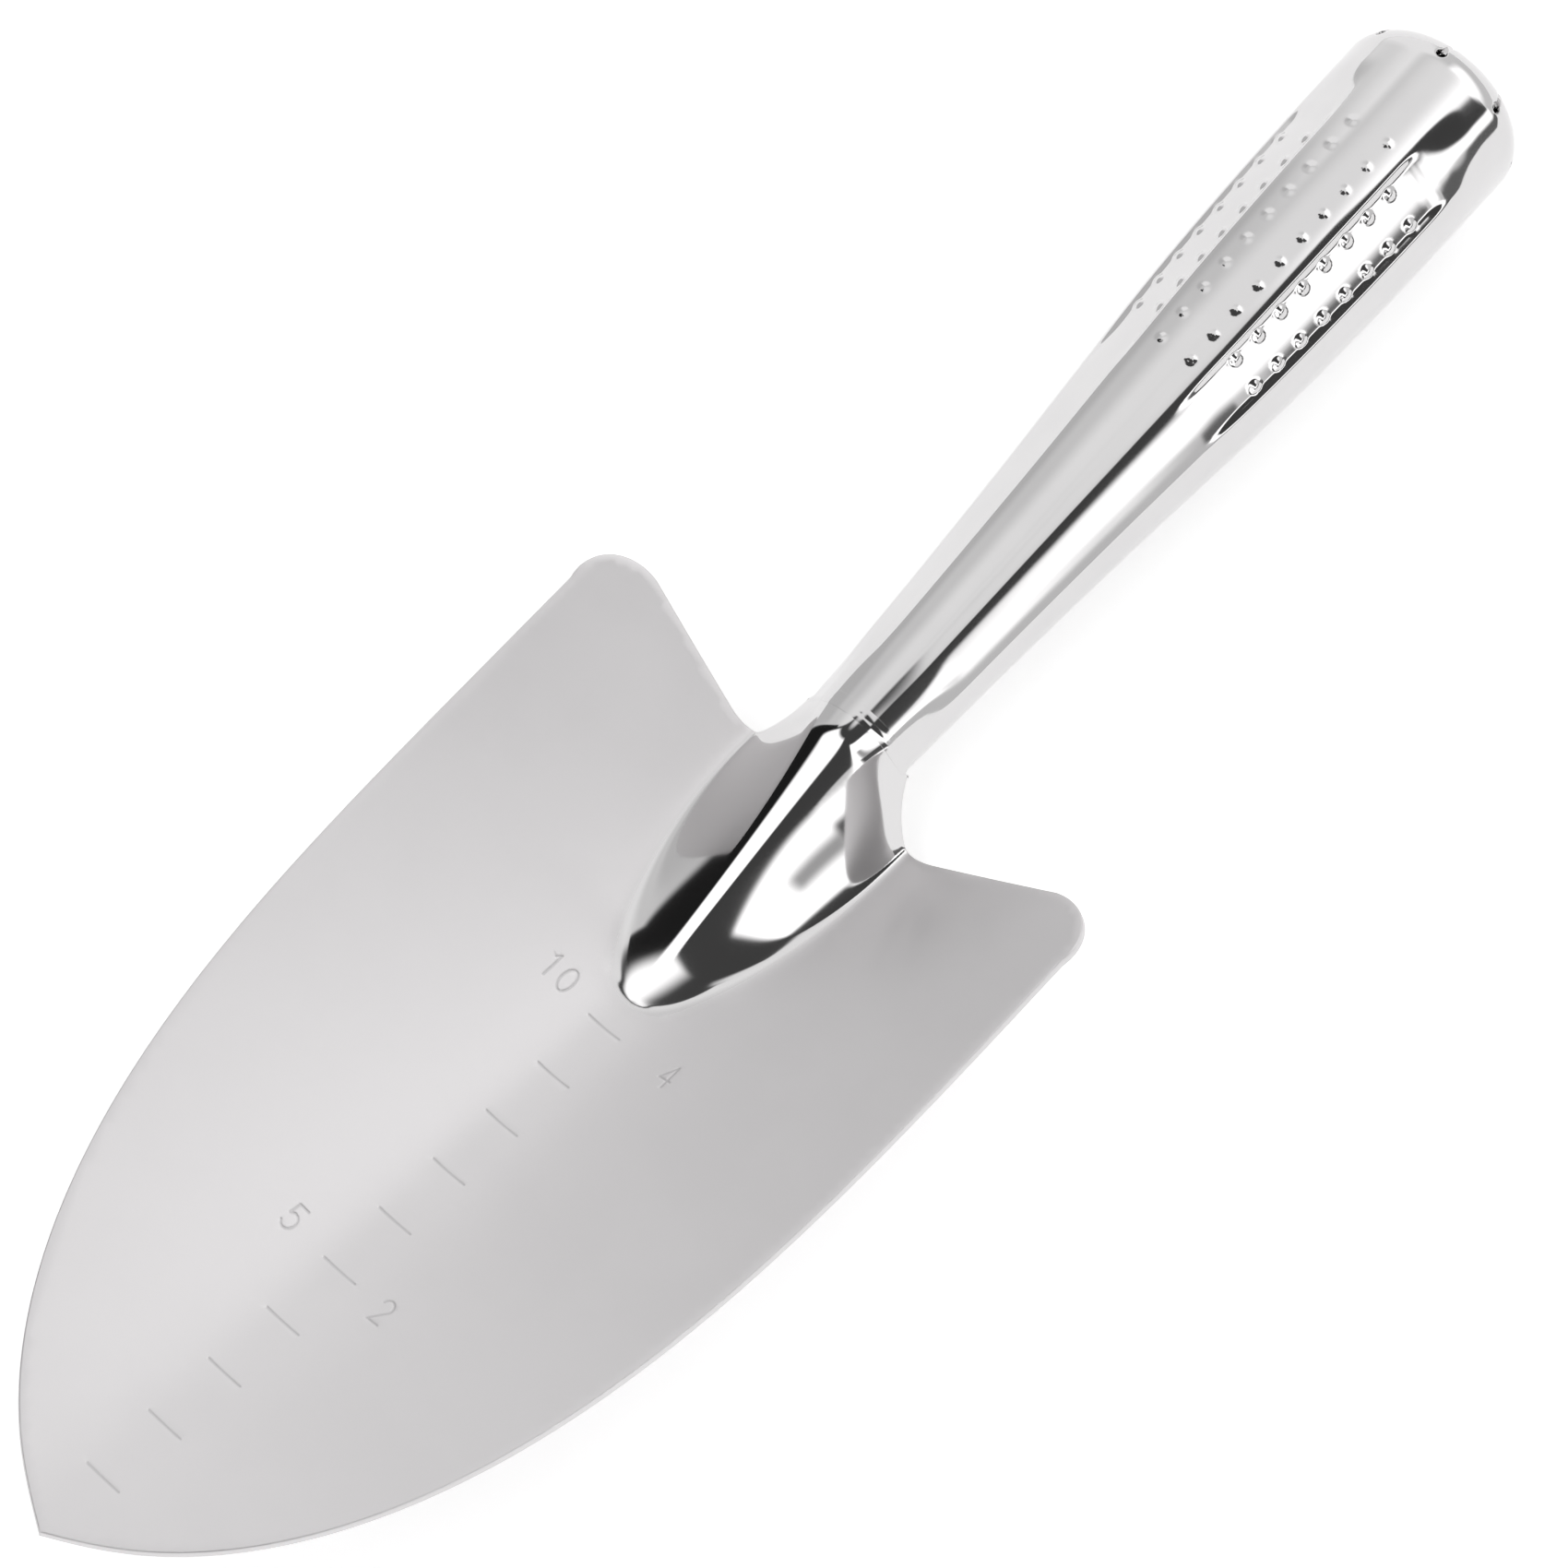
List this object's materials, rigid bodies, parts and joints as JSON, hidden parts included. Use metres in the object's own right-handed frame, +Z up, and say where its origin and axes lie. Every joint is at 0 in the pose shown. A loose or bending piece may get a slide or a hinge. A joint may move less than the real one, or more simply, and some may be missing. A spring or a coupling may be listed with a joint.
{
  "type": "hand transplanter",
  "caption": "Hand transplanter in stainless steel: a dished, pointed blade with a pressed ridge and a depth scale, welded to a hollow tapered handle with a bumped grip.",
  "frame": {"origin": "middle of the tool's bounding box at table level, as it lies at rest on the flat of the backing plate and the butt of the handle", "axes": "+Y from the blade's tip towards the butt of the handle, +Z up out of the hollow side of the blade, +X to the right"},
  "size_m": [0.0888, 0.2844, 0.0415],
  "materials": {
    "satin_steel": "fine satin, with the ridge and collar polished",
    "polished_steel": "mirror-polished stainless steel",
    "ground_weld": "weld ground flush and polished",
    "plain_steel": "mill finish",
    "weld_nugget": "heat-tinted spot weld"
  },
  "bodies": {
    "root": {"blade_pressing": "satin_steel", "handle_tube": "polished_steel", "neck_weld": "ground_weld", "tube_seam_weld": "ground_weld", "ridge_backing_plate": "plain_steel", "backing_plate_spot_welds": "weld_nugget"}
  },
  "joints": []
}
